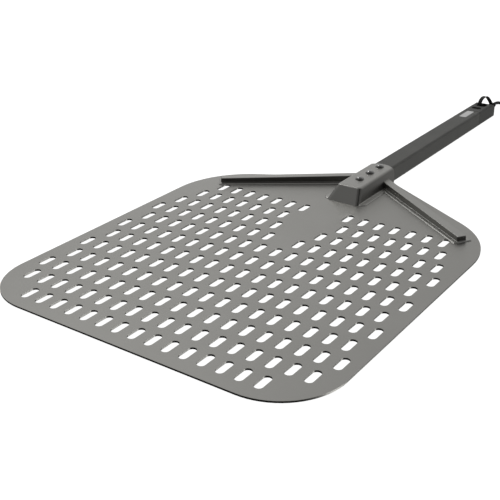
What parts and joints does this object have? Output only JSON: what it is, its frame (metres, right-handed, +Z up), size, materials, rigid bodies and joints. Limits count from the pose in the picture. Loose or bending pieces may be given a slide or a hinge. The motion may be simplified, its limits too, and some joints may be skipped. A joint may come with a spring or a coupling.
{
  "type": "pizza peel",
  "caption": "Perforated flat metal pizza peel with a ribbed yoke, a riveted dark moulded handle and a hanging thong through its end.",
  "frame": {"origin": "on the surface that the peel lies on, under the middle of its length and width, leaving out the thong", "axes": "+X to the right, +Y from the blade's front edge towards the handle's end, +Z up"},
  "size_m": [0.3048, 0.7117, 0.0242],
  "materials": {
    "blade_metal": "satin anodised, warm grey",
    "yoke_metal": "satin anodised pressing, warm grey",
    "rivet_metal": "satin, dark grey in shade",
    "fastener_steel": "plain turned steel",
    "handle_plastic": "fine-textured dark grey glass-filled nylon",
    "cap_plastic": "fine-textured dark grey nylon",
    "badge_metal": "plain satin inlay with no lettering",
    "thong_leather": "near-black flat leather lace"
  },
  "bodies": {
    "peel": {"blade": "blade_metal", "yoke": "yoke_metal", "rivets": "rivet_metal", "rivet_washers": "fastener_steel", "handle": "handle_plastic", "handle_badge": "badge_metal", "end_cap": "cap_plastic", "end_cap_screw": "fastener_steel"},
    "thong": {"thong_loop": "thong_leather", "thong_upper_tail": "thong_leather", "thong_lower_tail": "thong_leather", "thong_knot": "thong_leather"}
  },
  "joints": [
    {"name": "thong_swing", "type": "hinge", "parent": "peel", "child": "thong", "pos_m": [0, 0.3255, 0.01045], "axis": [1, 0, 0], "range_deg": [-75, 75]}
  ]
}
